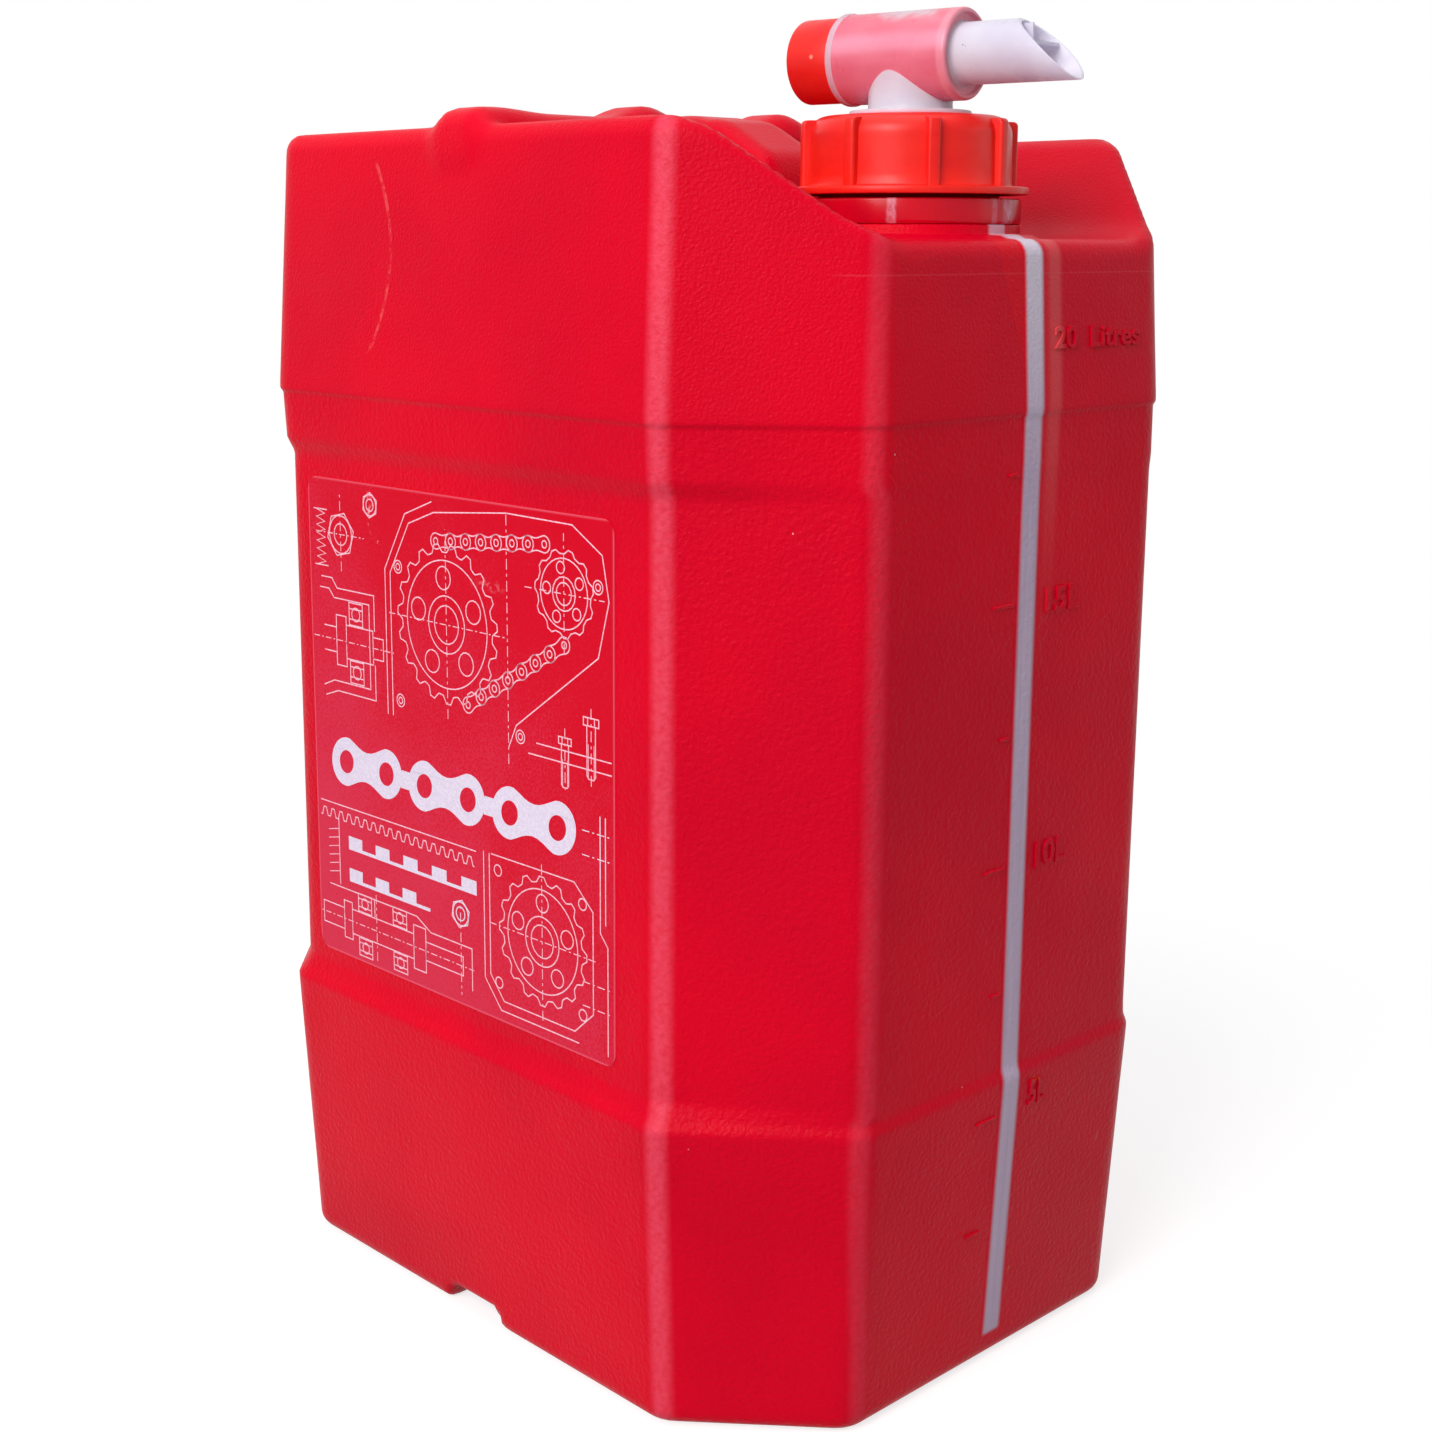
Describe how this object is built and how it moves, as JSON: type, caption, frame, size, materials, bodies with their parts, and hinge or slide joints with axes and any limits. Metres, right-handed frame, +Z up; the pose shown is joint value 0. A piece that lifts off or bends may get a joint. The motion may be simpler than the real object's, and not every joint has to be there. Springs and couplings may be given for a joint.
{
  "type": "chain cleaner can with pour tap",
  "caption": "Stacking plastic can for chain cleaner, with a moulded cross grip, a see-through level strip, a side label and a ribbed screw cap that carries a swivelling pour tap.",
  "frame": {"origin": "centre of the base plane, below the middle of the whole part's bounding box", "axes": "+Z up, -Y towards the strip face with the neck above it, -X towards the labelled side"},
  "size_m": [0.229, 0.3006, 0.4452],
  "materials": {
    "can_red": "fine leather grain, satin",
    "strip_clear": "translucent, satin",
    "label_film": "frosted film",
    "label_ink": "flat white print",
    "ring_red": "glossy",
    "cap_red": "satin gloss",
    "gasket": "soft, matt",
    "tap_natural": "translucent, satin gloss",
    "plug_red": "satin gloss"
  },
  "bodies": {
    "can": {"can_base": "can_red", "can_walls": "can_red", "can_shelf": "can_red", "can_pocket": "can_red", "can_deck": "can_red", "can_grip": "can_red", "can_neck": "can_red", "view_strip": "strip_clear", "side_label": "label_film", "label_print": "label_ink", "tamper_ring": "ring_red"},
    "cap_carrier": {"cap_gasket": "gasket"},
    "cap": {"screw_cap": "cap_red"},
    "tap": {"tap_body": "tap_natural"},
    "valve": {"valve_plug": "plug_red"}
  },
  "joints": [
    {"name": "cap_lift", "type": "slide", "parent": "can", "child": "cap_carrier", "axis": [0, 0, 1], "range_m": [0, 0.024]},
    {"name": "cap_turn", "type": "hinge", "parent": "cap_carrier", "child": "cap", "pos_m": [0, -0.09093, 0.4], "axis": [0, 0, 1], "range_deg": [0, 1440]},
    {"name": "tap_swivel", "type": "hinge", "parent": "cap", "child": "tap", "pos_m": [0, -0.09093, 0.412], "axis": [0, 0, 1], "continuous": true},
    {"name": "valve_turn", "type": "hinge", "parent": "tap", "child": "valve", "pos_m": [0, -0.09093, 0.4307], "axis": [0.134, -0.991, 0], "range_deg": [0, 180]}
  ],
  "couplings": [
    {"joint": "cap_lift", "follows": "cap_turn", "m_per_rad": 0.00095493}
  ]
}
